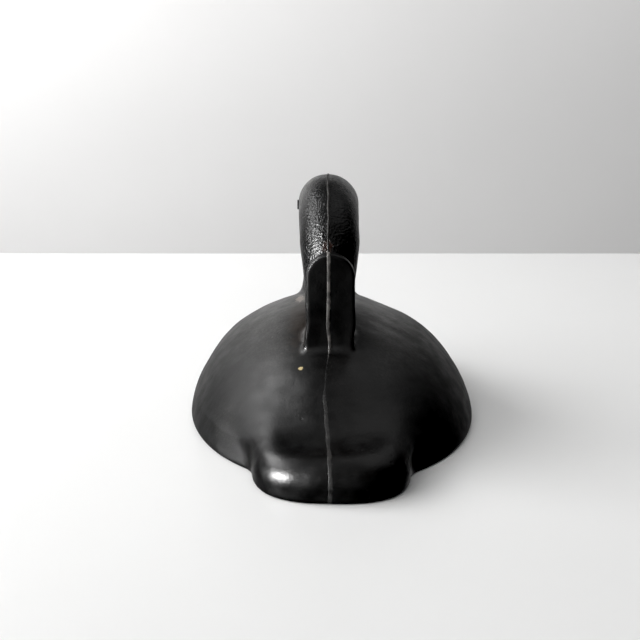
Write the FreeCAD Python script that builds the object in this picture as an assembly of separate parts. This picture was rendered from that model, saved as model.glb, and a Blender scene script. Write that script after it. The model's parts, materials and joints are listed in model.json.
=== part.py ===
"""Patty press: two cast-iron halves joined on the middle plane, with a press plate underneath.

Millimetres. X is across the press, Y runs along it (the front tongue is at -Y) and Z is up. The origin is
on the surface that the press stands on, under the middle of its box.
"""
import FreeCAD, Part
import math
import os

from FreeCAD import Matrix, Vector

# ---- driving dimensions ------------------------------------------------------------------------------
OVERALL_LENGTH = 178.0
# the halves meet on the plane X = JOINT_X, a little left of the body's middle; the handle is centred on it
JOINT_X = -1.2
BODY_WIDTH = 116.0
BODY_LENGTH = 162.0
DOME_HEIGHT = 44.0
DOME_SLOPE = 1.3
DOME_STEPS = 12
CROWN_FLAT = 0.04
WALL = 5.0

# the tongue in front of the dome
TONGUE_WIDTH = 58.0
TONGUE_HEIGHT = 14.5
TONGUE_SQUARENESS = 2.7
TONGUE_EDGE_RADIUS = 8.0

# the flat upright plate that carries the handle's front end
FIN_WIDTH = 18.4
FIN_THICKNESS = 4.4
FIN_TOP = 74.0
FIN_FRONT_Y = -33.2
FIN_EDGE_RADIUS = 1.2

# the handle: a round bar, bent over in a half circle
BAR_RADIUS = 11.3
SHOULDER_RADIUS = 11.9
ARCH_RADIUS = 28.4
ARCH_CENTRE_Y = 8.4
ARCH_CENTRE_Z = 55.8
FRONT_LEG_Y = -23.4
FRONT_LEG_HALF_WIDTH = 8.6
FRONT_LEG_HALF_DEPTH = 6.8
FOOT_FLARE = 4.0
FOOT_SINK = 13.0
# how the bar thickens or thins round the arch: (degrees from the rear, more half width, more half depth)
ARCH_SWELLS = (
    (0, 0.0, 0.0),
    (30, 0.0, 0.0),
    (60, 0.0, 0.0),
    (90, 0.6, 0.6),
    (120, 0.6, 0.3),
    (145, -0.3, -1.3),
    (165, -1.3, -1.3),
)
# the front leg below the arch: (height above the dome's crown, swell)
FRONT_LEG_SWELLS = ((5.0, 0.0), (-3.0, 0.3), (-13.0, 1.8))

# the press plate that closes the hollow underneath
PLATE_THICKNESS = 4.0
PLATE_GAP = 0.6
POST_RADIUS = 5.0
POST_X = 29.0
POST_DY = 43.0
SCREW_RADIUS = 2.0
SCREW_HEAD_RADIUS = 3.9
SCREW_LENGTH = 12.0
SCREW_SLOT = 1.0

# the two lugs under the crown that the clamp bolts pull together
LUG_DY = 30.0
LUG_HALF_LENGTH = 8.0
LUG_THICKNESS = 8.0
BOLT_Z = 22.0
BOLT_RADIUS = 2.5
BOLT_HOLE_RADIUS = 2.75
BOLT_HEAD_HEIGHT = 3.5
NUT_HEIGHT = 4.0
HEX_ACROSS_FLATS = 8.0
WASHER_RADIUS = 5.0
WASHER_THICKNESS = 1.0
THREAD_END = 3.0

# dowels that line the halves up, and the pin across the handle's crown
DOWEL_RADIUS = 2.0
DOWEL_LENGTH = 12.0
CROSS_PIN_RADIUS = 1.6
CROSS_PIN_HEAD_RADIUS = 1.9
CROSS_PIN_HEAD_HEIGHT = 0.9
CROSS_PIN_PROUD = 0.5
CROSS_PIN_SUNK = 0.2
TONGUE_DOWEL_DY = -14.0
TONGUE_DOWEL_Z = 6.0
LEG_DOWEL_Z = 50.0

# ---- worked out from them ----------------------------------------------------------------------------
BODY_CENTRE_Y = OVERALL_LENGTH / 2 - BODY_LENGTH / 2
HALF_WIDTH = BODY_WIDTH / 2
HALF_LENGTH = BODY_LENGTH / 2
TONGUE_HALF = TONGUE_WIDTH / 2
TONGUE_CENTRE_Y = -OVERALL_LENGTH / 2 + TONGUE_HALF
REAR_LEG_Y = ARCH_CENTRE_Y + ARCH_RADIUS
BOLT_YS = (BODY_CENTRE_Y - LUG_DY, BODY_CENTRE_Y + LUG_DY)
POST_PLACES = [(x, BODY_CENTRE_Y + dy) for x in (-POST_X, POST_X) for dy in (-POST_DY, POST_DY)]
DOWEL_PLACES = ((TONGUE_CENTRE_Y + TONGUE_DOWEL_DY, TONGUE_DOWEL_Z), (REAR_LEG_Y, LEG_DOWEL_Z))
CROSS_PIN_PLACE = (ARCH_CENTRE_Y, ARCH_CENTRE_Z + ARCH_RADIUS)

ALONG_X = Vector(1, 0, 0)
UP = Vector(0, 0, 1)


def dome(half_width, half_length, height):
    """Oval dome that stands on Z = 0. DOME_SLOPE = 1 is half an ellipsoid; more makes its shoulders slope.

    The crown is a tiny flat, CROWN_FLAT of the dome's width across, so that no surface ends in a point.
    """
    rim_to_crown = []
    for step in range(DOME_STEPS + 1):
        angle = step * math.acos(CROWN_FLAT) / DOME_STEPS
        rim_to_crown.append(Vector(math.cos(angle), 0, math.sin(angle) ** DOME_SLOPE))
    curve = Part.BSplineCurve()
    curve.interpolate(rim_to_crown)
    centre, rim, flat_edge = Vector(0, 0, 0), rim_to_crown[0], rim_to_crown[-1]
    crown = Vector(0, 0, flat_edge.z)
    floor = Part.LineSegment(centre, rim).toShape()
    flat = Part.LineSegment(flat_edge, crown).toShape()
    axis = Part.LineSegment(crown, centre).toShape()
    half_section = Part.Face(Part.Wire([floor, curve.toShape(), flat, axis]))
    round_dome = half_section.revolve(centre, UP, 360)
    stretch = Matrix()
    stretch.scale(half_width, half_length, height)
    shape = round_dome.transformGeometry(stretch)
    shape.translate(Vector(0, BODY_CENTRE_Y, 0))
    return shape


def tongue_outline(points_per_quarter=8):
    """Closed curve of the tongue seen from above: a circle squared off by TONGUE_SQUARENESS."""
    points = []
    for step in range(4 * points_per_quarter):
        angle = step * math.pi / (2 * points_per_quarter)
        c, s = math.cos(angle), math.sin(angle)
        squared = abs(c) ** TONGUE_SQUARENESS + abs(s) ** TONGUE_SQUARENESS
        reach = TONGUE_HALF / squared ** (1 / TONGUE_SQUARENESS)
        points.append(Vector(reach * c, TONGUE_CENTRE_Y + reach * s, 0))
    curve = Part.BSplineCurve()
    curve.interpolate(points, PeriodicFlag=True)
    return Part.Wire([curve.toShape()])


def tongue():
    """The low tongue with its rounded upper edge."""
    block = Part.Face(tongue_outline()).extrude(Vector(0, 0, TONGUE_HEIGHT))
    top_edges = [e for e in block.Edges if e.BoundBox.ZMin > TONGUE_HEIGHT - 0.01]
    return block.makeFillet(TONGUE_EDGE_RADIUS, top_edges)


def fin():
    """The flat upright plate with a half-round top."""
    radius = FIN_WIDTH / 2
    spring = FIN_TOP - radius
    foot = DOME_HEIGHT / 2
    low_left = Vector(JOINT_X - radius, FIN_FRONT_Y, foot)
    low_right = Vector(JOINT_X + radius, FIN_FRONT_Y, foot)
    high_right = Vector(JOINT_X + radius, FIN_FRONT_Y, spring)
    high_left = Vector(JOINT_X - radius, FIN_FRONT_Y, spring)
    crown = Vector(JOINT_X, FIN_FRONT_Y, FIN_TOP)
    edges = [
        Part.LineSegment(low_left, low_right).toShape(),
        Part.LineSegment(low_right, high_right).toShape(),
        Part.Arc(high_right, crown, high_left).toShape(),
        Part.LineSegment(high_left, low_left).toShape(),
    ]
    plate = Part.Face(Part.Wire(edges)).extrude(Vector(0, FIN_THICKNESS, 0))
    rim = [e for e in plate.Edges if e.BoundBox.YLength < 0.01 and e.BoundBox.ZMax > foot + 1]
    return plate.makeFillet(FIN_EDGE_RADIUS, rim)


def oval(centre, along, half_width, half_depth):
    """Oval section across the handle, at right angles to the direction it runs in."""
    across = along.cross(ALONG_X).normalize()
    points = []
    for step in range(16):
        angle = step * math.pi / 8
        offset = ALONG_X * (half_width * math.cos(angle)) + across * (half_depth * math.sin(angle))
        points.append(centre + offset)
    curve = Part.BSplineCurve()
    curve.interpolate(points, PeriodicFlag=True)
    return Part.Wire([curve.toShape()])


def handle():
    """Rear leg, half-circle arch and the front leg, which thins as it runs down the back of the fin."""
    sections = []
    # the rear leg leaves the dome with a soft flare
    for height, flare in ((-FOOT_SINK, FOOT_FLARE), (-FOOT_SINK / 2, FOOT_FLARE / 2), (2.0, 0.0)):
        centre = Vector(JOINT_X, REAR_LEG_Y, DOME_HEIGHT + height)
        sections.append(oval(centre, UP, BAR_RADIUS + flare, BAR_RADIUS + flare))
    for degrees, wider, deeper in ARCH_SWELLS:
        turn = math.radians(degrees)
        centre = Vector(
            JOINT_X,
            ARCH_CENTRE_Y + ARCH_RADIUS * math.cos(turn),
            ARCH_CENTRE_Z + ARCH_RADIUS * math.sin(turn),
        )
        along = Vector(0, -math.sin(turn), math.cos(turn))
        sections.append(oval(centre, along, BAR_RADIUS + wider, BAR_RADIUS + deeper))
    for height, swell in FRONT_LEG_SWELLS:
        centre = Vector(JOINT_X, FRONT_LEG_Y, DOME_HEIGHT + height)
        sections.append(oval(centre, -UP, FRONT_LEG_HALF_WIDTH + swell, FRONT_LEG_HALF_DEPTH + swell))
    return Part.makeLoft(sections, True, False)


def cylinder_x(radius, x_from, x_to, y, z):
    """Round bar or hole that runs along X, its ends counted from the joint."""
    return Part.makeCylinder(radius, x_to - x_from, Vector(JOINT_X + x_from, y, z), ALONG_X)


def middle_of_wall():
    """Solid that ends halfway through the dome's wall, so that what hangs inside reaches into the wall."""
    return dome(HALF_WIDTH - WALL / 2, HALF_LENGTH - WALL / 2, DOME_HEIGHT - WALL / 2)


def clamp_lugs():
    """Two lugs that hang from the crown on both sides of the middle plane."""
    core = middle_of_wall()
    lugs = []
    for y in BOLT_YS:
        width = 2 * LUG_THICKNESS
        corner = Vector(JOINT_X - LUG_THICKNESS, y - LUG_HALF_LENGTH, BOLT_Z)
        web = Part.makeBox(width, 2 * LUG_HALF_LENGTH, DOME_HEIGHT - BOLT_Z, corner)
        round_end = cylinder_x(LUG_HALF_LENGTH, -LUG_THICKNESS, LUG_THICKNESS, y, BOLT_Z)
        lugs.append(web.fuse(round_end).common(core))
    return lugs


def screw_posts():
    """Four posts inside the dome that take the plate screws."""
    core = middle_of_wall()
    posts = []
    for x, y in POST_PLACES:
        post = Part.makeCylinder(POST_RADIUS, DOME_HEIGHT, Vector(x, y, PLATE_THICKNESS), UP)
        posts.append(post.common(core))
    return posts


def whole_casting():
    """Both halves together: the outside, the hollow, the lugs and posts, and every hole."""
    outside = dome(HALF_WIDTH, HALF_LENGTH, DOME_HEIGHT).fuse([tongue(), fin(), handle()])
    hollow = dome(HALF_WIDTH - WALL, HALF_LENGTH - WALL, DOME_HEIGHT - WALL)
    body = outside.cut(hollow).fuse(clamp_lugs() + screw_posts())
    past_lug = LUG_THICKNESS + 1
    holes = [cylinder_x(BOLT_HOLE_RADIUS, -past_lug, past_lug, y, BOLT_Z) for y in BOLT_YS]
    holes += [locating_dowel(y, z) for y, z in DOWEL_PLACES]
    holes += [plate_screw_shank(x, y) for x, y in POST_PLACES]
    holes += [cross_pin_hole(), cross_pin()]
    return body.cut(holes)


def half_casting(whole, side):
    """One half of the whole casting: side is -1 for the left and 1 for the right."""
    reach = OVERALL_LENGTH
    corner = Vector(JOINT_X if side > 0 else JOINT_X - reach, -reach, -1)
    return whole.common(Part.makeBox(reach, 2 * reach, reach, corner))


def press_plate():
    """Flat oval plate, let into the hollow from below and countersunk for its screws."""
    half_width = HALF_WIDTH - WALL - PLATE_GAP
    half_length = HALF_LENGTH - WALL - PLATE_GAP
    rim = Part.Ellipse(Vector(0, BODY_CENTRE_Y, 0), half_length, half_width)
    edge = rim.toShape()
    edge.rotate(Vector(0, BODY_CENTRE_Y, 0), UP, 90)
    plate = Part.Face(Part.Wire([edge])).extrude(Vector(0, 0, PLATE_THICKNESS))
    return plate.cut([plate_screw(x, y) for x, y in POST_PLACES])


def plate_screw_shank(x, y):
    """Threaded part of a plate screw, which is also the tapped hole in its post."""
    return Part.makeCylinder(SCREW_RADIUS, SCREW_LENGTH, Vector(x, y, 0), UP)


def plate_screw(x, y):
    """Countersunk screw, flush with the pressing face."""
    head_height = SCREW_HEAD_RADIUS - SCREW_RADIUS
    head = Part.makeCone(SCREW_HEAD_RADIUS, SCREW_RADIUS, head_height, Vector(x, y, 0), UP)
    return head.fuse(plate_screw_shank(x, y))


def slotted_plate_screw(x, y):
    """Plate screw with the slot in its head."""
    across = 2 * SCREW_HEAD_RADIUS
    slot = Part.makeBox(across, SCREW_SLOT, SCREW_SLOT, Vector(x - across / 2, y - SCREW_SLOT / 2, 0))
    return plate_screw(x, y).cut(slot)


def hexagon(x_from, height, y, z):
    """Hexagonal bar along X, its end counted from the joint."""
    corner = HEX_ACROSS_FLATS / math.sqrt(3)
    points = []
    for side in range(7):
        angle = side * math.pi / 3
        points.append(Vector(JOINT_X + x_from, y + corner * math.cos(angle), z + corner * math.sin(angle)))
    return Part.Face(Part.makePolygon(points)).extrude(Vector(height, 0, 0))


def clamp_bolt(y):
    """Hexagon bolt through both lugs, with its head on the left."""
    seat = LUG_THICKNESS + WASHER_THICKNESS
    head = hexagon(-seat - BOLT_HEAD_HEIGHT, BOLT_HEAD_HEIGHT, y, BOLT_Z)
    return head.fuse(cylinder_x(BOLT_RADIUS, -seat, seat + NUT_HEIGHT + THREAD_END, y, BOLT_Z))


def clamp_washer(y, side):
    """Flat washer between a lug and the bolt's head or nut."""
    near, far = LUG_THICKNESS, LUG_THICKNESS + WASHER_THICKNESS
    x_from, x_to = (near, far) if side > 0 else (-far, -near)
    disc = cylinder_x(WASHER_RADIUS, x_from, x_to, y, BOLT_Z)
    return disc.cut(cylinder_x(BOLT_RADIUS, x_from, x_to, y, BOLT_Z))


def clamp_nut(y):
    """Hexagon nut on the bolt's right end."""
    seat = LUG_THICKNESS + WASHER_THICKNESS
    nut = hexagon(seat, NUT_HEIGHT, y, BOLT_Z)
    return nut.cut(cylinder_x(BOLT_RADIUS, seat, seat + NUT_HEIGHT, y, BOLT_Z))


def locating_dowel(y, z):
    """Plain dowel across the joint, half in each casting."""
    return cylinder_x(DOWEL_RADIUS, -DOWEL_LENGTH / 2, DOWEL_LENGTH / 2, y, z)


def cross_pin_hole():
    """The drilled hole, right through the handle."""
    y, z = CROSS_PIN_PLACE
    return cylinder_x(CROSS_PIN_RADIUS, -SHOULDER_RADIUS - 1, SHOULDER_RADIUS + 1, y, z)


def cross_pin():
    """Pin through the crown of the handle: a small head stands proud on the left, the right end is sunk."""
    y, z = CROSS_PIN_PLACE
    flank = SHOULDER_RADIUS
    shank = cylinder_x(CROSS_PIN_RADIUS, -flank, flank - CROSS_PIN_SUNK, y, z)
    head_from = -flank - CROSS_PIN_PROUD
    head = cylinder_x(CROSS_PIN_HEAD_RADIUS, head_from, head_from + CROSS_PIN_HEAD_HEIGHT, y, z)
    return shank.fuse(head)


def all_pieces():
    """Every separate piece by its name; pieces that are alike share one name."""
    whole = whole_casting()
    return {
        "left_half_casting": half_casting(whole, -1),
        "right_half_casting": half_casting(whole, 1),
        "press_plate": press_plate(),
        "plate_screws": Part.makeCompound([slotted_plate_screw(x, y) for x, y in POST_PLACES]),
        "clamp_bolts": Part.makeCompound([clamp_bolt(y) for y in BOLT_YS]),
        "clamp_washers": Part.makeCompound([clamp_washer(y, side) for y in BOLT_YS for side in (-1, 1)]),
        "clamp_nuts": Part.makeCompound([clamp_nut(y) for y in BOLT_YS]),
        "locating_dowels": Part.makeCompound([locating_dowel(y, z) for y, z in DOWEL_PLACES]),
        "handle_cross_pin": cross_pin(),
    }


os.makedirs("parts", exist_ok=True)
for name, shape in all_pieces().items():
    shape.exportStep("parts/" + name + ".step")
    print(name, shape.isValid(), len(shape.Solids), round(shape.Volume), shape.BoundBox)
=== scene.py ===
"""Looks of the cast-iron patty press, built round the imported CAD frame.

The two half castings are made again as one implicit surface, meshed, cut on the joint plane and given
their cast skin. Shapes are worked out in millimetres and turned to metres when a mesh is made.
"""

import json
import math

import bmesh
import bpy
import numpy as np
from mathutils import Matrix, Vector

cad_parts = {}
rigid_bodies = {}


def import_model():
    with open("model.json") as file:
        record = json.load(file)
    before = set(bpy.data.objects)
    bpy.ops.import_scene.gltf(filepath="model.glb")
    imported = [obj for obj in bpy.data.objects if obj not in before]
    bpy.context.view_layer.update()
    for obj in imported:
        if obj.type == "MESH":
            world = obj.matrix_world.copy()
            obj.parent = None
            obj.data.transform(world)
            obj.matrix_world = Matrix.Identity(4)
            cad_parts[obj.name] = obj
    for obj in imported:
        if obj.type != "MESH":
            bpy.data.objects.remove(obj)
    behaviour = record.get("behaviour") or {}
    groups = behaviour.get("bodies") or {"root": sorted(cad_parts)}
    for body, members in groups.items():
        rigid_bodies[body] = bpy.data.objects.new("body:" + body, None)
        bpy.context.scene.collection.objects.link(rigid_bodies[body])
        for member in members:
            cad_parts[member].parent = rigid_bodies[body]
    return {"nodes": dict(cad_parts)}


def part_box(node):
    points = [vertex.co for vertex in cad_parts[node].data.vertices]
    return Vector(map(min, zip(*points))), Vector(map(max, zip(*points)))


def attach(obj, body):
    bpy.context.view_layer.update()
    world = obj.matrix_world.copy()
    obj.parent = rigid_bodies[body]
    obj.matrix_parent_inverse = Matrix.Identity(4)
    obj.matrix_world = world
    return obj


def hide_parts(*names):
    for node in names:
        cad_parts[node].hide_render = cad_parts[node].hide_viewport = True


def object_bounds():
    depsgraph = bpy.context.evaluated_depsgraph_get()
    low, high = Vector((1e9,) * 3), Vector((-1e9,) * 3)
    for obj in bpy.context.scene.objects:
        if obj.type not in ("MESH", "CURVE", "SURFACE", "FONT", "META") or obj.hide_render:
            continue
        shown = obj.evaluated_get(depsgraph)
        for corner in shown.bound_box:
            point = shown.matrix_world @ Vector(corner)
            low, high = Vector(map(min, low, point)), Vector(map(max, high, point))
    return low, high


for leftover in list(bpy.data.objects):
    bpy.data.objects.remove(leftover)
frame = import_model()
CAD_LOW, CAD_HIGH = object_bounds()

# ---- sizes, in millimetres, worked out from the frame ---------------------------------------------------
M_TO_MM = 1000.0


def box_mm(node):
    """Lowest and highest corner of a CAD node, in millimetres."""
    low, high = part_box(node)
    return np.array(low) * M_TO_MM, np.array(high) * M_TO_MM


LOW = np.array(CAD_LOW) * M_TO_MM
HIGH = np.array(CAD_HIGH) * M_TO_MM
PLATE_LOW, PLATE_HIGH = box_mm("press_plate")
PIN_LOW, PIN_HIGH = box_mm("handle_cross_pin")
JOINT_X = box_mm("right_half_casting")[0][0]

WALL = 5.0
HALF_WIDTH = HIGH[0]
BODY_Y = (PLATE_LOW[1] + PLATE_HIGH[1]) / 2
HALF_LENGTH = HIGH[1] - BODY_Y
DOME_HEIGHT = 44.3
DOME_POWER = 0.65
BODY_SQUARENESS = 2.08

TONGUE_HALF = 28.7
TONGUE_X = -0.6
TONGUE_Y = LOW[1] + TONGUE_HALF
TONGUE_HEIGHT = 14.6
TONGUE_SQUARENESS = 2.7
TONGUE_ROUNDING = 10.0

FIN_HALF = 9.2
FIN_TOP = 74.0
FIN_Y = -31.0
FIN_HALF_THICKNESS = 2.2
FIN_ROUNDING = 1.0

ARCH_RADIUS = 28.4
ARCH_Y = (PIN_LOW[1] + PIN_HIGH[1]) / 2
ARCH_Z = (PIN_LOW[2] + PIN_HIGH[2]) / 2 - ARCH_RADIUS
FRONT_LEG_Y = -23.4
LEG_TAPER = 12.0
# (degrees round the handle from the rear springing, half width, half depth); legs count on in degrees
HANDLE_STATIONS = np.array((
    (-60, 11.3, 11.3),
    (0, 11.2, 11.2),
    (45, 11.3, 11.3),
    (85, 11.85, 11.8),
    (115, 11.9, 11.6),
    (140, 11.3, 10.6),
    (165, 10.0, 10.0),
    (195, 8.6, 7.8),
    (206, 8.6, 7.0),
    (240, 8.6, 6.8),
))

# inside the hollow
LUG_REACH = 8.0
BOLT_Z = 22.0
BOLT_HALF_HEAD = 4.0
POST_RADIUS = 5.0
SCREW_HALF_HEAD = 3.9

# how the shapes run into each other
FIN_FILLET = 2.4
HANDLE_FILLET = 3.6
INNER_EDGE_ROUNDING = 0.6
BASE_EDGE_ROUNDING = 1.4

# how far the handle and the fin lean sideways, by height
LEAN_HEIGHTS = (44, 58, 76, 88, 97)
LEAN_SHIFTS = (0.6, 0.55, 0.33, 0.0, -0.4)

VOXEL = 0.67
RIDGE_STEP = 0.5


# ---- implicit shapes: negative inside, near the surface close to a distance in millimetres ---------------
def smooth_min(a, b, k):
    h = np.clip(0.5 + 0.5 * (b - a) / k, 0, 1)
    return b * (1 - h) + a * h - k * h * (1 - h)


def smooth_max(a, b, k):
    return -smooth_min(-a, -b, k)


def smooth_step(low, high, value):
    t = np.clip((value - low) / (high - low), 0, 1)
    return t * t * (3 - 2 * t)


def rounded_prism(flat, up, rounding):
    """Two distances meet at an edge with a radius."""
    a, b = flat + rounding, up + rounding
    outside = np.sqrt(np.maximum(a, 0) ** 2 + np.maximum(b, 0) ** 2)
    return outside + np.minimum(np.maximum(a, b), 0) - rounding


def dome(x, y, z, inset):
    """The oval dome, or the hollow inside it when inset is the wall."""
    a, b, h = HALF_WIDTH - inset, HALF_LENGTH - inset, DOME_HEIGHT - inset
    n, m = BODY_SQUARENESS, 1 / DOME_POWER
    u, v, w = np.abs(x) / a, np.abs(y - BODY_Y) / b, np.maximum(z, 0) / h
    level = w ** m + u ** n + v ** n - 1
    slope = np.sqrt((m / h * w ** (m - 1)) ** 2 + (n / a * u ** (n - 1)) ** 2 + (n / b * v ** (n - 1)) ** 2)
    return level / np.maximum(slope, 1 / h)


def tongue(x, y, z):
    n = TONGUE_SQUARENESS
    plan = (np.abs(x - TONGUE_X) ** n + np.abs(y - TONGUE_Y) ** n) ** (1 / n) - TONGUE_HALF
    return rounded_prism(plan, z - TONGUE_HEIGHT, TONGUE_ROUNDING)


def fin(x, y, z):
    spring = FIN_TOP - FIN_HALF
    outline = np.hypot(x - JOINT_X, np.maximum(z - spring, 0)) - FIN_HALF
    return rounded_prism(outline, np.abs(y - FIN_Y) - FIN_HALF_THICKNESS, FIN_ROUNDING)


def handle(x, y, z):
    """Round bar along a half circle with two legs."""
    over = z > ARCH_Z
    rear = y > ARCH_Y
    lean = smooth_step(0, LEG_TAPER, ARCH_Z - z)
    front_leg_y = ARCH_Y - ARCH_RADIUS + (FRONT_LEG_Y - ARCH_Y + ARCH_RADIUS) * lean
    in_arch = np.hypot(y - ARCH_Y, z - ARCH_Z) - ARCH_RADIUS
    offset = np.where(over, in_arch, np.where(rear, y - ARCH_Y - ARCH_RADIUS, y - front_leg_y))
    below = np.degrees((ARCH_Z - z) / ARCH_RADIUS)
    turned = np.degrees(np.arctan2(z - ARCH_Z, y - ARCH_Y))
    station = np.where(over, turned, np.where(rear, -below, 180 + below))
    half_width = np.interp(station, HANDLE_STATIONS[:, 0], HANDLE_STATIONS[:, 1])
    half_depth = np.interp(station, HANDLE_STATIONS[:, 0], HANDLE_STATIONS[:, 2])
    u, v = (x - JOINT_X) / half_width, offset / half_depth
    reach = np.sqrt(u * u + v * v)
    spread = np.sqrt((half_depth * u) ** 2 + (half_width * v) ** 2 + 1e-6)
    return (reach - 1) * half_width * half_depth / spread * reach


def outside_of_press(x, y, z):
    """The whole cast outside, with the fillets where its shapes meet."""
    tongue_fillet = 4.0 + 9.0 * smooth_step(4, 13, z)
    body = smooth_min(dome(x, y, z, 0), tongue(x, y, z), tongue_fillet)
    body = smooth_min(body, fin(x, y, z), FIN_FILLET)
    return smooth_min(body, handle(x, y, z), HANDLE_FILLET)


def ends(node, half_head):
    """Where a row of fasteners begins and ends along Y: the middles of its first and last head."""
    low, high = box_mm(node)
    middle, span = (low[1] + high[1]) / 2, (high[1] - low[1]) / 2
    return middle - (span - half_head), middle + (span - half_head)


def clamp_lugs(x, y, z):
    """The lugs under the crown that the clamp bolts pull together, round below and square above."""
    slab = np.abs(x - JOINT_X) - LUG_REACH
    lugs = []
    for bolt_y in ends("clamp_bolts", BOLT_HALF_HEAD):
        column = np.maximum(np.abs(y - bolt_y) - LUG_REACH, BOLT_Z - z)
        boss = np.hypot(y - bolt_y, z - BOLT_Z) - LUG_REACH
        lugs.append(np.maximum(slab, np.minimum(column, boss)))
    return lugs


def screw_posts(x, y, z):
    """The round posts that the plate's screws go up into."""
    low, high = box_mm("plate_screws")
    posts = []
    for screw_y in ends("plate_screws", SCREW_HALF_HEAD):
        for screw_x in (low[0] + SCREW_HALF_HEAD, high[0] - SCREW_HALF_HEAD):
            post = np.hypot(x - screw_x, y - screw_y) - POST_RADIUS
            posts.append(np.maximum(post, PLATE_HIGH[2] - z))
    return posts


def inside_of_press(x, y, z):
    """The hollow, less the lugs and posts that hang in it."""
    hollow = dome(x, y, z, WALL)
    for solid in clamp_lugs(x, y, z) + screw_posts(x, y, z):
        hollow = np.maximum(hollow, -solid)
    return hollow


def press(x, y, z):
    """The iron of both half castings."""
    shell = smooth_max(outside_of_press(x, y, z), -inside_of_press(x, y, z), INNER_EDGE_ROUNDING)
    return smooth_max(shell, -z, BASE_EDGE_ROUNDING)


# ---- meshing -------------------------------------------------------------------------------------------
def surface_net(field, low, high, pitch):
    """Quads round a field's zero level: a point in each crossed cell, a face across each crossed edge."""
    axes = [np.arange(low[i], high[i] + pitch, pitch) for i in range(3)]
    values = np.empty([len(a) for a in axes], np.float32)
    for i, x in enumerate(axes[0]):
        y, z = np.meshgrid(axes[1], axes[2], indexing="ij")
        values[i] = field(np.full_like(y, x), y, z)
    inside = values < 0
    cells = np.zeros([n - 1 for n in inside.shape], np.int8)
    for dx in (0, 1):
        for dy in (0, 1):
            for dz in (0, 1):
                cells += shifted(inside, (dx, dy, dz), cells.shape)
    crossed = np.argwhere((cells > 0) & (cells < 8))
    numbers = np.full(cells.shape, -1, np.int64)
    numbers[tuple(crossed.T)] = np.arange(len(crossed))
    total, count = np.zeros((len(crossed), 3)), np.zeros(len(crossed))
    for axis in range(3):
        others = [i for i in range(3) if i != axis]
        for first in (0, 1):
            for second in (0, 1):
                corner = crossed.copy()
                corner[:, others[0]] += first
                corner[:, others[1]] += second
                step = corner.copy()
                step[:, axis] += 1
                near, far = values[tuple(corner.T)], values[tuple(step.T)]
                cut = (near < 0) != (far < 0)
                share = near / np.where(cut, near - far, 1)
                place = corner.astype(float)
                place[:, axis] += share
                total[cut] += place[cut]
                count[cut] += 1
    points = total / count[:, None] * pitch + np.array([a[0] for a in axes])
    quads = []
    for axis in range(3):
        u, v = (axis + 1) % 3, (axis + 2) % 3
        step = [0, 0, 0]
        step[axis] = 1
        shape = list(inside.shape)
        shape[axis] -= 1
        here, there = shifted(inside, (0, 0, 0), shape), shifted(inside, step, shape)
        for entering in (False, True):
            edges = np.argwhere(~here & there if entering else here & ~there)
            edges = edges[(edges[:, u] > 0) & (edges[:, v] > 0)]
            ring = []
            for du, dv in ((1, 1), (0, 1), (0, 0), (1, 0)):
                cell = edges.copy()
                cell[:, u] -= du
                cell[:, v] -= dv
                ring.append(numbers[tuple(cell.T)])
            quads.append(np.stack(ring[::-1] if entering else ring, axis=1))
    return points, np.concatenate(quads)


def shifted(block, start, shape):
    i, j, k = start
    return block[i:i + shape[0], j:j + shape[1], k:k + shape[2]]


def gradient(field, points, step=0.05):
    """Outward direction of a field and its steepness, by central differences."""
    slopes = []
    for axis in range(3):
        ahead, behind = points.copy(), points.copy()
        ahead[:, axis] += step
        behind[:, axis] -= step
        slopes.append((field(*ahead.T) - field(*behind.T)) / (2 * step))
    slopes = np.stack(slopes, axis=1)
    size = np.maximum(np.linalg.norm(slopes, axis=1), 1e-3)
    return slopes / size[:, None], size


def settle(field, points, rounds=2):
    """Moves points onto the zero level."""
    for _ in range(rounds):
        normal, size = gradient(field, points)
        move = np.clip(field(*points.T) / size, -0.5, 0.5)
        points = points - normal * move[:, None]
    return points


def waves(seed, wavelength, count=24):
    """A smooth random field of about unit height, the same on each run."""
    rng = np.random.default_rng(seed)
    direction = rng.normal(size=(count, 3))
    direction /= np.linalg.norm(direction, axis=1)[:, None]
    number = direction * (2 * math.pi / wavelength) * rng.uniform(0.7, 1.5, count)[:, None]
    phase = rng.uniform(0, 2 * math.pi, count)

    def field(points):
        return np.sin(points @ number.T + phase).sum(axis=1) * math.sqrt(2 / count)

    return field


BROAD = waves(3, 34.0)
MEDIUM = waves(5, 11.0)
FINE = waves(7, 3.6)


def cast_skin(points):
    """How far the sand-cast skin stands off the drawn shape, in millimetres."""
    outside = smooth_step(-2.0, -0.5, -np.abs(outside_of_press(*points.T)))
    off_the_base = smooth_step(0.5, 4.0, points[:, 2])
    height = 0.16 * BROAD(points) + 0.03 * MEDIUM(points) + 0.008 * FINE(points)
    return height * outside * off_the_base


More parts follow.
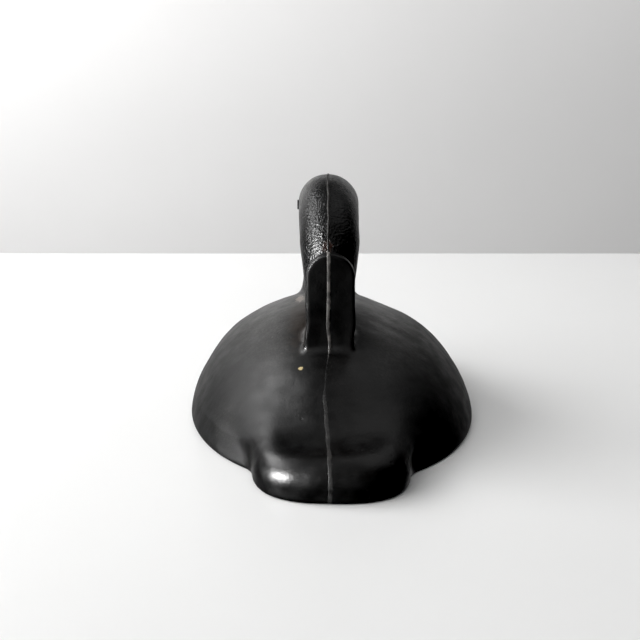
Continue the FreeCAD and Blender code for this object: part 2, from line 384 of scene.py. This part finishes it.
def bend_as_cast(points):
    """The casting isn't true: it is a little askew, its joint wanders, its handle leans, its dome sags."""
    x, y, z = points.T
    # askew: the outline is turned a little, except low down inside, where the plate has to fit
    plan = np.hypot(x / HALF_WIDTH, (y - BODY_Y) / HALF_LENGTH)
    free = np.maximum(smooth_step(5, 12, z), smooth_step(0.93, 0.99, plan))
    askew = -0.030 * x * free * (1 - smooth_step(34, 50, z))
    # the joint strays to the left on the front of the dome
    off_joint = np.abs(x - JOINT_X)
    wander = -1.5 * np.exp(-((y + 52) / 20) ** 2) * (1 - smooth_step(0, 26, off_joint))
    wander *= smooth_step(2, 8, z) * (1 - smooth_step(32, 38, z))
    # the handle and the fin lean
    lean = np.interp(z, LEAN_HEIGHTS, LEAN_SHIFTS)
    lean = -0.3 * smooth_step(44, 56, z) + (lean + 0.3) * smooth_step(0, 8, off_joint)
    lean *= smooth_step(40, 48, z)
    # the dome's top is low on the right and high on the far left
    slump = -1.9 * np.exp(-((x - 24) / 11) ** 2) + 1.2 * np.exp(-((x + 46) / 9) ** 2)
    slump *= smooth_step(10, 22, z) * (1 - smooth_step(43, 48, z)) * smooth_step(-40, -5, y)
    return np.stack((x + wander + lean, y + askew, z + slump), axis=1)


def finished(points, normals):
    """Drawn points with the cast skin on and the casting's bend."""
    return bend_as_cast(points + normals * cast_skin(points)[:, None])


# ---- the two half castings --------------------------------------------------------------------------------
def new_object(name, points, faces):
    mesh = bpy.data.meshes.new(name)
    mesh.from_pydata((points / M_TO_MM).tolist(), [], [list(map(int, f)) for f in faces])
    mesh.update()
    piece = bpy.data.objects.new(name, mesh)
    bpy.context.scene.collection.objects.link(piece)
    return piece


def shade(piece, degrees=50):
    piece.data.polygons.foreach_set("use_smooth", [True] * len(piece.data.polygons))
    piece.data.set_sharp_from_angle(angle=math.radians(degrees))


def half(name, whole, side):
    """One side of the meshed press, closed with a flat face on the joint."""
    net = bmesh.new()
    net.from_mesh(whole)
    everything = net.verts[:] + net.edges[:] + net.faces[:]
    bmesh.ops.bisect_plane(
        net, geom=everything, plane_co=(JOINT_X / M_TO_MM, 0, 0), plane_no=(-side, 0, 0),
        dist=1e-7, clear_outer=True,
    )
    rim = [e for e in net.edges if e.is_boundary]
    bmesh.ops.triangle_fill(net, edges=rim, use_beauty=True, normal=(-side, 0, 0))
    bmesh.ops.recalc_face_normals(net, faces=net.faces[:])
    mesh = bpy.data.meshes.new(name)
    net.to_mesh(mesh)
    net.free()
    places = np.empty(len(mesh.vertices) * 3)
    mesh.vertices.foreach_get("co", places)
    places = places.reshape(-1, 3) * M_TO_MM
    normals, _ = gradient(press, places)
    mesh.vertices.foreach_set("co", (finished(places, normals) / M_TO_MM).ravel())
    mesh.update()
    piece = bpy.data.objects.new(name, mesh)
    bpy.context.scene.collection.objects.link(piece)
    shade(piece)
    return piece


def half_castings():
    margin = np.array((2.0, 2.0, 2.0))
    points, quads = surface_net(press, LOW - margin, HIGH + margin, VOXEL)
    points = settle(press, points)
    whole = new_object("whole_press", points, quads)
    halves = half("left_casting", whole.data, -1), half("right_casting", whole.data, 1)
    bpy.data.objects.remove(whole)
    return halves


# ---- the ridge of flash along the joint ------------------------------------------------------------------
def joint_line(start, heading, most=2000):
    """Follows the outside on the joint plane from a point, until it meets the floor or itself."""
    def level(y, z):
        return outside_of_press(np.array([JOINT_X]), np.array([y]), np.array([z]))[0]

    def uphill(y, z):
        d = 0.02
        g = np.array((level(y + d, z) - level(y - d, z), level(y, z + d) - level(y, z - d))) / (2 * d)
        return g / max(np.linalg.norm(g), 1e-6)

    place = np.array(start, float)
    way = np.array(heading, float)
    line = []
    for _ in range(most):
        for _ in range(3):
            place = place - uphill(*place) * level(*place)
        line.append(place.copy())
        normal = uphill(*place)
        along = np.array((-normal[1], normal[0]))
        if along @ way < 0:
            along = -along
        way = along
        place = place + along * RIDGE_STEP
        if place[1] < 0.8 or (len(line) > 20 and np.linalg.norm(place - line[0]) < RIDGE_STEP):
            break
    return np.array(line)


def ridge_mesh(line, width, height, drift):
    """A low rounded ridge swept along a line on the joint: arrays hold its size at each point."""
    count = len(line)
    points3 = np.column_stack((np.full(count, JOINT_X), line))
    normals, _ = gradient(outside_of_press, points3)
    surface = points3 + normals * cast_skin(points3)[:, None]
    angles = np.radians((0, 36, 72, 108, 144, 180, 225, 270, 315))
    buried = 0.45
    rings = []
    for angle in angles:
        up = math.sin(angle) * (height if math.sin(angle) > 0 else buried)
        side = math.cos(angle) * width + drift
        ring = surface + normals * np.broadcast_to(up, count)[:, None]
        ring[:, 0] += side
        rings.append(ring)
    points = np.stack(rings, axis=1).reshape(-1, 3)
    n = len(angles)
    faces = []
    for i in range(count - 1):
        for j in range(n):
            k = (j + 1) % n
            faces.append((i * n + j, i * n + k, (i + 1) * n + k, (i + 1) * n + j))
    faces.append(tuple(range(n))[::-1])
    faces.append(tuple((count - 1) * n + j for j in range(n)))
    return bend_as_cast(points), faces


def joint_ridge():
    """Flash left standing along the joint, outside and round the finger gap."""
    outer = joint_line((LOW[1] + 0.1, 1.0), (0, 1))
    inner = joint_line((ARCH_Y, ARCH_Z + ARCH_RADIUS - 12.0), (1, 0))
    inner = np.vstack((inner, inner[:2]))
    pieces = []
    for number, (name, line) in enumerate((("outside", outer), ("inside", inner))):
        along = np.column_stack((np.arange(len(line)) * RIDGE_STEP, np.zeros((len(line), 2))))
        worn = 0.5 + 0.5 * waves(20 + number, 9.0)(along) / 1.6
        rough = waves(30 + number, 2.2)(along)
        y, z = line.T
        on_fin = smooth_step(-36, -33, y) * (1 - smooth_step(-30, -28, y)) * (number == 0)
        on_tongue = 1 - smooth_step(-56, -50, y)
        on_handle = smooth_step(48, 54, z) * (1 - on_fin)
        width = 0.16 + 0.44 * on_fin + 0.54 * on_tongue + 0.22 * on_handle + 0.08 * worn + 0.06 * rough
        height = 0.24 * on_fin + 0.06 * on_tongue + 0.18 * on_handle
        height += (0.004 + 0.06 * np.maximum(on_fin, on_handle)) * worn + 0.008 * rough
        drift = 0.14 * waves(40 + number, 14.0)(along) + 0.05 * rough
        points, faces = ridge_mesh(line, np.clip(width, 0.14, 1.0), np.clip(height, 0.004, 0.5), drift)
        piece = new_object("joint_ridge_" + name, points, faces)
        shade(piece, 42)
        pieces.append(piece)
    return pieces


# ---- materials: small tools ----------------------------------------------------------------------------
class Look:
    """A material being built: its node tree, its shader, and the piece's own coordinates in millimetres."""

    def __init__(self, name):
        self.material = bpy.data.materials.new(name)
        self.material.use_nodes = True
        self.tree = self.material.node_tree
        self.shader = self.tree.nodes["Principled BSDF"]
        place = self.node("ShaderNodeTexCoord").outputs["Object"]
        scaled = self.node("ShaderNodeVectorMath", operation="SCALE")
        scaled.inputs["Scale"].default_value = M_TO_MM
        self.link(place, scaled.inputs[0])
        self.place = scaled.outputs[0]

    def node(self, kind, **settings):
        made = self.tree.nodes.new(kind)
        for name, value in settings.items():
            setattr(made, name, value)
        return made

    def link(self, source, target):
        self.tree.links.new(source, target)

    def feed(self, socket, value):
        """Links a socket, or sets it."""
        if isinstance(value, bpy.types.NodeSocket):
            self.link(value, socket)
        else:
            socket.default_value = value

    def noise(self, size, detail=2.0, roughness=0.5, place=None):
        """Noise with features of about that many millimetres, from 0 to 1."""
        made = self.node("ShaderNodeTexNoise")
        made.inputs["Scale"].default_value = 1 / size
        made.inputs["Detail"].default_value = detail
        made.inputs["Roughness"].default_value = roughness
        self.link(place or self.place, made.inputs["Vector"])
        return made.outputs[0]

    def cells(self, size):
        """Distance to the nearest of scattered points, in cells."""
        made = self.node("ShaderNodeTexVoronoi")
        made.inputs["Scale"].default_value = 1 / size
        self.link(self.place, made.inputs["Vector"])
        return made.outputs["Distance"]

    def sum(self, operation, a, b, clamp=False):
        made = self.node("ShaderNodeMath", operation=operation, use_clamp=clamp)
        self.feed(made.inputs[0], a)
        self.feed(made.inputs[1], b)
        return made.outputs[0]

    def between(self, value, low, high, to_low=0.0, to_high=1.0):
        """Maps low..high smoothly to to_low..to_high, held at both ends."""
        made = self.node("ShaderNodeMapRange", interpolation_type="SMOOTHSTEP")
        self.link(value, made.inputs["Value"])
        made.inputs["From Min"].default_value = low
        made.inputs["From Max"].default_value = high
        made.inputs["To Min"].default_value = to_low
        made.inputs["To Max"].default_value = to_high
        return made.outputs[0]

    def mix(self, share, a, b):
        """Colours a and b, all of b where share is 1."""
        made = self.node("ShaderNodeMix", data_type="RGBA")
        self.feed(made.inputs["Factor"], share)
        self.feed(made.inputs["A"], a)
        self.feed(made.inputs["B"], b)
        return made.outputs["Result"]

    def part(self, axis):
        split = self.node("ShaderNodeSeparateXYZ")
        self.link(self.place, split.inputs[0])
        return split.outputs[axis]

    def spot(self, centre, radius, ragged=0.35, soft=0.25, stretch=(1, 1, 1)):
        """1 inside a ragged patch round a point, 0 outside."""
        away = self.node("ShaderNodeVectorMath", operation="SUBTRACT")
        self.link(self.place, away.inputs[0])
        away.inputs[1].default_value = centre
        scaled = self.node("ShaderNodeVectorMath", operation="DIVIDE")
        self.link(away.outputs[0], scaled.inputs[0])
        scaled.inputs[1].default_value = [radius * s for s in stretch]
        length = self.node("ShaderNodeVectorMath", operation="LENGTH")
        self.link(scaled.outputs[0], length.inputs[0])
        wobble = self.between(self.noise(radius * 0.6, 3.0), 0.25, 0.75, -ragged, ragged)
        reach = self.sum("ADD", length.outputs["Value"], wobble)
        return self.between(reach, 1 - soft, 1 + soft, 1.0, 0.0)

    def bump(self, height, depth, under=None):
        """Relief: height from 0 to 1 stands for that many millimetres."""
        made = self.node("ShaderNodeBump")
        made.inputs["Distance"].default_value = depth / M_TO_MM
        self.link(height, made.inputs["Height"])
        if under is not None:
            self.link(under, made.inputs["Normal"])
        return made.outputs[0]

    def finish(self, colour, roughness, normal, metallic=0.0, specular=0.5):
        self.feed(self.shader.inputs["Base Color"], colour)
        self.feed(self.shader.inputs["Roughness"], roughness)
        self.link(normal, self.shader.inputs["Normal"])
        self.shader.inputs["Metallic"].default_value = metallic
        self.shader.inputs["Specular IOR Level"].default_value = specular
        return self.material


def cast_relief(look):
    """Soft lumps, sand grain and pits, with pebbles on the handle but not on the fin."""
    high = look.between(look.part(2), 46.0, 58.0)
    on_handle = look.sum("MULTIPLY", high, look.between(look.part(1), -29.0, -26.0))
    lumps = look.bump(look.noise(6.0, 2.0), 0.10)
    grain = look.bump(look.noise(0.9, 3.0, 0.6), 0.05, lumps)
    pebbles = look.sum("MULTIPLY", look.noise(0.8, 1.0, 0.5), on_handle)
    knobbly = look.bump(pebbles, 0.36, grain)
    pit_cells = look.cells(3.4)
    where = look.between(look.noise(14.0, 1.0), 0.58, 0.66)
    pits = look.sum("MULTIPLY", look.between(pit_cells, 0.10, 0.22, 1.0, 0.0), where)
    sunk = look.sum("SUBTRACT", 1.0, pits)
    return look.bump(sunk, 0.05, knobbly)


def with_dust_and_sheen(look, colour):
    """Specks of dust all over, and a paler bloom on the dome's shoulders, either side of the handle: partly
    dust, partly painted sheen that lightens the top where it catches the light.
    """
    up = look.part(2)
    specks = look.between(look.noise(0.9, 2.0), 0.62, 0.74)
    colour = look.mix(look.sum("MULTIPLY", specks, 0.25), colour, (0.020, 0.018, 0.016, 1))
    aside = look.between(look.sum("ABSOLUTE", look.part(0), 0.0), 10.0, 24.0)
    shoulder = look.sum("MULTIPLY", look.between(up, 24.0, 40.0), look.between(up, 45.0, 50.0, 1.0, 0.0))
    bloom = look.between(look.noise(1.0, 4.0, 0.6), 0.36, 0.68, 0.40, 1.0)
    # painted sheen with dust: the shoulders' colour is lightened to stand for the light the dome's top
    # catches
    dust_and_painted_sheen = look.sum("MULTIPLY", look.sum("MULTIPLY", aside, shoulder), bloom)
    return look.mix(dust_and_painted_sheen, colour, (0.040, 0.0388, 0.0375, 1))


def with_marks(look, colour):
    """The single marks of use, and a painted highlight round the rust: places are the piece's own, in
    millimetres.
    """
    streak = look.spot((-12.5, -5.0, 42.0), 4.0, 0.5, 0.6, (1.0, 6.0, 3.0))
    colour = look.mix(look.sum("MULTIPLY", streak, 0.30), colour, (0.040, 0.026, 0.017, 1))
    scuff = look.spot((-40.0, -42.0, 12.0), 7.0, 0.7, 0.5)
    scratched = look.sum("MULTIPLY", scuff, look.between(look.noise(0.7, 3.0), 0.50, 0.66))
    colour = look.mix(look.sum("MULTIPLY", scratched, 0.25), colour, (0.07, 0.067, 0.062, 1))
    chip = look.spot((-13.0, 17.0, 42.8), 1.7, 0.4, 0.15, (1.0, 3.5, 1.2))
    colour = look.mix(chip, colour, (0.17, 0.145, 0.125, 1))
    yellow_speck = look.spot((-11.8, -40.7, 32.2), 0.85, 0.2, 0.2)
    colour = look.mix(yellow_speck, colour, (0.50, 0.40, 0.20, 1))
    rust_place = (-1.9, -25.2, 75.0)
    # painted highlight: a pale ring round the rust spot stands for the lit edge of a small raised stub
    rim_highlight_round_rust = look.spot(rust_place, 2.1, 0.5, 0.15)
    rust = look.spot(rust_place, 1.6, 0.5, 0.15)
    colour = look.mix(look.sum("MULTIPLY", rim_highlight_round_rust, 0.3), colour, (0.12, 0.085, 0.070, 1))
    colour = look.mix(rust, colour, (0.024, 0.010, 0.007, 1))
    rusty_dot = look.spot((-1.0, -67.0, 13.5), 1.0, 0.4, 0.2)
    return look.mix(rusty_dot, colour, (0.09, 0.030, 0.016, 1))


def black_iron(name="black_iron_cast"):
    """Seasoned black iron: satin where it is left alone and smoother where it is rubbed."""
    look = Look(name)
    relief = cast_relief(look)
    cloudy = look.between(look.noise(22.0, 3.0), 0.35, 0.7)
    colour = look.mix(cloudy, (0.0015, 0.0015, 0.0016, 1), (0.0030, 0.0028, 0.0027, 1))
    colour = with_marks(look, with_dust_and_sheen(look, colour))
    satin = look.between(look.noise(6.0, 3.0), 0.3, 0.7, 0.46, 0.58)
    rubbed = look.between(look.noise(5.0, 3.0), 0.3, 0.7, 0.30, 0.38)
    gap = look.sum("SUBTRACT", rubbed, satin)
    roughness = look.sum("ADD", satin, look.sum("MULTIPLY", gap, rubbed_places(look)))
    return look.finish(colour, roughness, relief, specular=0.34)


def rubbed_places(look):
    """How far the iron is rubbed smooth, 0 to 1: most on the handle, the tongue and the dome's middle."""
    across, along, up = look.part(0), look.part(1), look.part(2)
    grip = look.sum("MULTIPLY", look.between(up, 44.0, 52.0), look.between(along, -30.0, -26.0))
    tongue_end = look.between(along, -68.0, -56.0, 1.0, 0.0)
    middle = look.between(look.sum("ABSOLUTE", across, 0.0), 2.0, 30.0, 1.0, 0.0)
    crown = look.between(up, 30.0, 40.0, 0.0, 0.6)
    touched = look.sum("MAXIMUM", grip, tongue_end)
    smooth = look.sum("MAXIMUM", touched, look.sum("MAXIMUM", middle, crown))
    fin_face = look.sum("MULTIPLY", look.between(along, -30.0, -27.0, 0.3, 0.0), look.between(up, 33.0, 36.0))
    return look.sum("SUBTRACT", smooth, fin_face, clamp=True)


def ridge_wear_and_highlight():
    """The ridge's iron: pale on the fin, a little on the handle and less on the tongue, partly rubbed bare
    and partly a painted highlight where the ridge catches the light.
    """
    look = Look("black_iron_ridge_wear_and_painted_highlight")
    relief = look.bump(look.noise(0.8, 3.0), 0.10)
    worn = look.between(look.noise(4.0, 3.0), 0.40, 0.66)
    along, up = look.part(1), look.part(2)
    fin_face = look.sum("MULTIPLY", look.between(along, -30.0, -28.0, 1.0, 0.0), look.between(up, 34.0, 38.0))
    grip = look.between(up, 44.0, 50.0, 0.0, 0.22)
    tip = look.between(along, -62.0, -54.0, 0.09, 0.0)
    high = look.sum("MAXIMUM", fin_face, look.sum("MAXIMUM", grip, tip))
    # partly rubbed bare, partly painted highlight: the ridge's catch of the light is put into its pale colour
    bare_and_highlight = look.sum("MULTIPLY", high, look.sum("ADD", 0.35, worn))
    colour = look.mix(bare_and_highlight, (0.0032, 0.0031, 0.0030, 1), (0.150, 0.142, 0.134, 1))
    rusty = look.between(look.noise(7.0, 2.0), 0.60, 0.74)
    rusty = look.sum("MULTIPLY", rusty, look.sum("MULTIPLY", bare_and_highlight, 0.5))
    colour = look.mix(rusty, colour, (0.055, 0.034, 0.022, 1))
    roughness = look.between(look.noise(1.6, 2.0), 0.3, 0.7, 0.46, 0.62)
    return look.finish(colour, roughness, relief, specular=0.3)


def ground_iron():
    """Bare iron ground flat, with the wheel's fine marks along the plate."""
    look = Look("ground_iron_plate")
    along = look.node("ShaderNodeMapping")
    along.inputs["Scale"].default_value = (1.0, 0.02, 1.0)
    look.link(look.place, along.inputs["Vector"])
    marks = look.noise(0.35, 4.0, 0.7, along.outputs[0])
    relief = look.bump(marks, 0.025, look.bump(look.noise(9.0, 2.0), 0.05))
    colour = look.mix(marks, (0.20, 0.195, 0.19, 1), (0.36, 0.35, 0.34, 1))
    oily = look.between(look.noise(16.0, 4.0), 0.45, 0.72)
    colour = look.mix(look.sum("MULTIPLY", oily, 0.55), colour, (0.12, 0.095, 0.075, 1))
    roughness = look.between(look.noise(4.0, 4.0), 0.3, 0.7, 0.26, 0.46)
    return look.finish(colour, roughness, relief, metallic=1.0)


def turned_steel():
    """Bright steel of the screws, bolts, nuts, washers and dowels, a little tarnished."""
    look = Look("turned_steel")
    relief = look.bump(look.noise(0.25, 3.0, 0.6), 0.012)
    tarnish = look.between(look.noise(2.2, 3.0), 0.40, 0.75)
    colour = look.mix(tarnish, (0.46, 0.455, 0.45, 1), (0.24, 0.21, 0.18, 1))
    roughness = look.between(look.noise(1.0, 3.0), 0.3, 0.7, 0.20, 0.42)
    return look.finish(colour, roughness, relief, metallic=1.0)


def paint(piece, *materials):
    piece.data.materials.clear()
    for material in materials:
        piece.data.materials.append(material)


def repaint_node(name, material):
    """A better finish on a CAD node that stays."""
    node = frame["nodes"][name]
    for holder in node.material_slots:
        holder.material = material


# ---- the set: floor, wall, window light, camera -----------------------------------------------------------
def stage_sheet(name, outline, colour, roughness, mirrored=True):
    """A wide sheet of the set, from a side outline of (y, z) points; mirrored if it shows in reflections."""
    wide = 950
    mesh = bpy.data.meshes.new(name)
    points = [(x / M_TO_MM, y / M_TO_MM, z / M_TO_MM) for y, z in outline for x in (-wide, wide)]
    faces = [(i, i + 1, i + 3, i + 2) for i in range(0, len(points) - 2, 2)]
    mesh.from_pydata(points, [], faces)
    mesh.polygons.foreach_set("use_smooth", [True] * len(faces))
    sheet = bpy.data.objects.new(name, mesh)
    bpy.context.scene.collection.objects.link(sheet)
    look = Look(name)
    cloud = look.between(look.noise(160.0, 3.0), 0.3, 0.7)
    tone = look.mix(cloud, [c * 0.985 for c in colour] + [1], list(colour) + [1])
    paint(sheet, look.finish(tone, roughness, look.bump(look.noise(2.0, 3.0), 0.02)))
    sheet.visible_glossy = mirrored
    return sheet


def set_stage():
    """A pale table top with a rounded back edge, and a pale wall beyond it."""
    edge = 275
    flat = [(-3000, 0), (-600, 0), (edge - 4, 0)]
    rounded = [(edge - 1.8, -0.4), (edge - 0.4, -1.6), (edge, -4), (edge, -400)]
    stage_sheet("table", flat + rounded, (0.80, 0.80, 0.795), 0.4, mirrored=False)
    stage_sheet("wall", [(1000, -900), (1000, 500)], (0.90, 0.895, 0.89), 0.7)


def area_light(name, place, target, size, power, glossy=True):
    """A white soft box, in metres and watts; it shows in reflections only if it is glossy."""
    light = bpy.data.lights.new(name, "AREA")
    light.shape = "RECTANGLE"
    light.size, light.size_y = size
    light.energy = power
    lamp = bpy.data.objects.new(name, light)
    lamp.location = place
    lamp.rotation_euler = (Vector(target) - Vector(place)).to_track_quat("-Z", "Y").to_euler()
    lamp.visible_glossy = glossy
    lamp.visible_camera = False
    bpy.context.scene.collection.objects.link(lamp)
    return lamp


def room():
    """A dim room: pale where the camera looks past the set, dark in reflections."""
    world = bpy.data.worlds.new("room")
    world.use_nodes = True
    tree = world.node_tree
    backdrop = tree.nodes["Background"]
    backdrop.inputs["Color"].default_value = (0.62, 0.62, 0.61, 1)
    dim = tree.nodes.new("ShaderNodeBackground")
    dim.inputs["Color"].default_value = (0.044, 0.0445, 0.0455, 1)
    rays = tree.nodes.new("ShaderNodeLightPath")
    choice = tree.nodes.new("ShaderNodeMixShader")
    tree.links.new(rays.outputs["Is Camera Ray"], choice.inputs[0])
    tree.links.new(dim.outputs[0], choice.inputs[1])
    tree.links.new(backdrop.outputs[0], choice.inputs[2])
    tree.links.new(choice.outputs[0], tree.nodes["World Output"].inputs["Surface"])
    bpy.context.scene.world = world


def aimed(azimuth, elevation, distance):
    """A place that many degrees round to the left from the front, and up from the table, in metres."""
    turn, rise = math.radians(azimuth), math.radians(elevation)
    flat = distance * math.cos(rise)
    return (-flat * math.sin(turn), -flat * math.cos(turn), distance * math.sin(rise))


def glare(name, place, target, size, radiance):
    """A soft box that lights only gloss. The radiance holds for a full spread; a narrow one is brighter."""
    power = radiance * math.pi * size[0] * size[1]
    lamp = area_light(name, place, target, size, power)
    lamp.visible_diffuse = False
    return lamp


def set_lights():
    """Soft light on the set from the left and above, and panes that only the iron's gloss shows."""
    middle = (0, 0.01, 0.05)
    area_light("window", (-1.0, -0.30, 0.75), middle, (0.95, 1.5), 14.8, glossy=False)
    area_light("overhead", (0.0, -0.2, 1.9), middle, (2.2, 2.2), 16, glossy=False)
    area_light("wall_wash", (-0.9, 0.40, 0.7), (0.15, 1.0, 0.1), (0.7, 0.7), 14, glossy=False)
    # a narrow spread keeps the low pane on the tongue and off the dome's left flank
    low = glare("low_window_pane", (-0.30, -0.27, 0.11), (0.0, -0.138, 0.0), (0.20, 0.30), 7.5)
    low.data.spread = math.radians(36)
    glare("high_window_pane", aimed(106, 45, 1.2), middle, (0.60, 0.50), 10.5)
    glare("pale_ceiling", (0.0, -0.1, 1.9), middle, (2.4, 2.4), 0.2)
    glare("far_side_window", aimed(-120, 60, 1.5), middle, (1.2, 1.0), 0.5)
    room()
    film = bpy.context.scene.view_settings
    film.view_transform = "Standard"
    # black level lifted: the darkest tones go down to black, as in a contrasty print
    film.use_curve_mapping = True
    film.curve_mapping.black_level = (0.0048, 0.0048, 0.0048)


def set_camera():
    """At the front, a little above the press and looking down on it."""
    lens = bpy.data.cameras.new("camera")
    lens.lens = 64.69
    lens.sensor_width = 36
    lens.clip_start = 0.01
    camera = bpy.data.objects.new("camera", lens)
    camera.location = (-0.0046, -0.4443, 0.1744)
    camera.rotation_euler = (math.radians(73), 0, 0)
    bpy.context.scene.collection.objects.link(camera)
    bpy.context.scene.camera = camera


# ---- everything -------------------------------------------------------------------------------------------
def main():
    """The set, the two castings with their ridge, and better finishes on the CAD nodes that stay."""
    set_camera()
    set_lights()
    set_stage()
    left, right = half_castings()
    iron, ridge_iron = black_iron(), ridge_wear_and_highlight()
    for casting, node in ((left, "left_half_casting"), (right, "right_half_casting")):
        paint(casting, iron)
        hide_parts(node)
        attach(casting, "root")
    for ridge in joint_ridge():
        paint(ridge, ridge_iron)
        ridge.parent = left
    steel = turned_steel()
    repaint_node("press_plate", ground_iron())
    repaint_node("handle_cross_pin", black_iron("black_iron_pin"))
    for name in ("plate_screws", "clamp_bolts", "clamp_washers", "clamp_nuts", "locating_dowels"):
        repaint_node(name, steel)


main()
bpy.context.view_layer.update()
